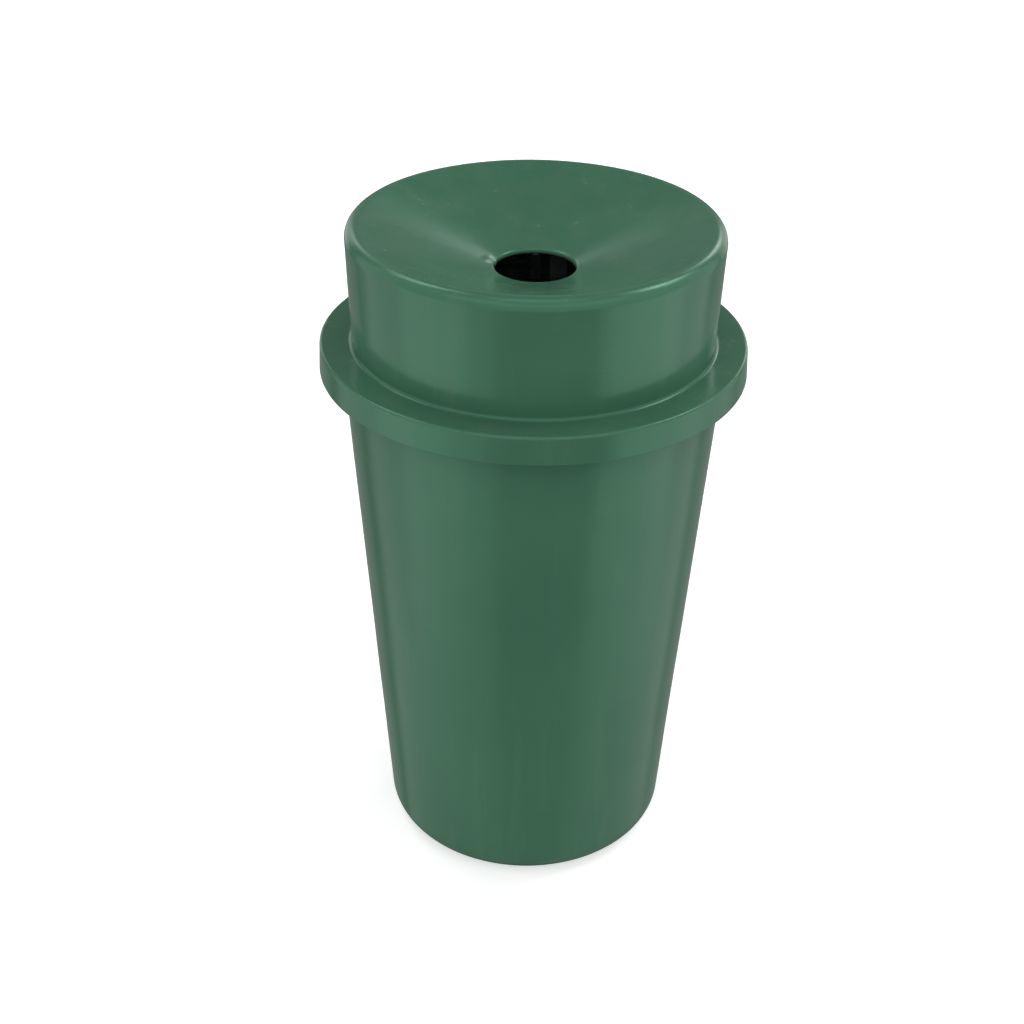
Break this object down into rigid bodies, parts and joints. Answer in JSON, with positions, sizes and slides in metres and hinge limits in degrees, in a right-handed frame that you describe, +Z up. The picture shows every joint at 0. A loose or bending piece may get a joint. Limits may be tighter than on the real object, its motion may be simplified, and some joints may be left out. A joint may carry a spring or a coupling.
{
  "type": "litter bin",
  "caption": "Round outdoor litter bin: tapered moulded body, lift-off hood with a funnel top and throw hole, rear cam lock and a galvanised inner liner.",
  "frame": {"origin": "centre of the foot ring, on the ground", "axes": "+Z up along the bin's axis, +Y towards the lock at the back, +X to the right seen from the front"},
  "size_m": [0.4883, 0.4884, 0.7998],
  "materials": {
    "hood_gelcoat": "satin",
    "body_gelcoat": "satin",
    "trim_rubber": "matte",
    "galvanised_plate": "satin",
    "galvanised_sheet": "satin",
    "galvanised_rod": "satin",
    "rivet_alloy": "satin",
    "lock_chrome": "gloss",
    "zinc_plated": "satin"
  },
  "bodies": {
    "body": {"body_shell": "body_gelcoat", "rim_trim": "trim_rubber", "floor_plate": "galvanised_plate", "plate_rivets": "rivet_alloy", "lock_keeper": "galvanised_plate", "keeper_rivets": "rivet_alloy"},
    "hood": {"lid_hood": "hood_gelcoat", "lock_barrel": "lock_chrome", "lock_washer": "zinc_plated", "lock_nut": "zinc_plated"},
    "lock": {"lock_plug": "lock_chrome", "lock_cam": "zinc_plated", "cam_screw": "zinc_plated"},
    "liner": {"liner_shell": "galvanised_sheet", "liner_rim_wire": "galvanised_rod", "liner_floor": "galvanised_sheet", "handle_lug_left": "galvanised_plate", "handle_lug_right": "galvanised_plate", "liner_rivets": "rivet_alloy"},
    "left_handle": {"handle_left": "galvanised_rod"},
    "right_handle": {"handle_right": "galvanised_rod"}
  },
  "joints": [
    {"name": "lid_lift", "type": "slide", "parent": "body", "child": "hood", "axis": [0, 0, 1], "range_m": [0, 0.8]},
    {"name": "liner_lift", "type": "slide", "parent": "body", "child": "liner", "axis": [0, 0, 1], "range_m": [0, 0.66]},
    {"name": "lock_turn", "type": "hinge", "parent": "hood", "child": "lock", "pos_m": [0, 0.1918, 0.684], "axis": [0, -1, 0], "range_deg": [0, 90]},
    {"name": "handle_left_swing", "type": "hinge", "parent": "liner", "child": "left_handle", "pos_m": [-0.1565, 0, 0.575], "axis": [0, -1, 0], "range_deg": [0, 180]},
    {"name": "handle_right_swing", "type": "hinge", "parent": "liner", "child": "right_handle", "pos_m": [0.1565, 0, 0.575], "axis": [0, 1, 0], "range_deg": [0, 180]}
  ],
  "couplings": [
    {"joint": "liner_lift", "follows": "lid_lift", "ratio": 0.825}
  ]
}
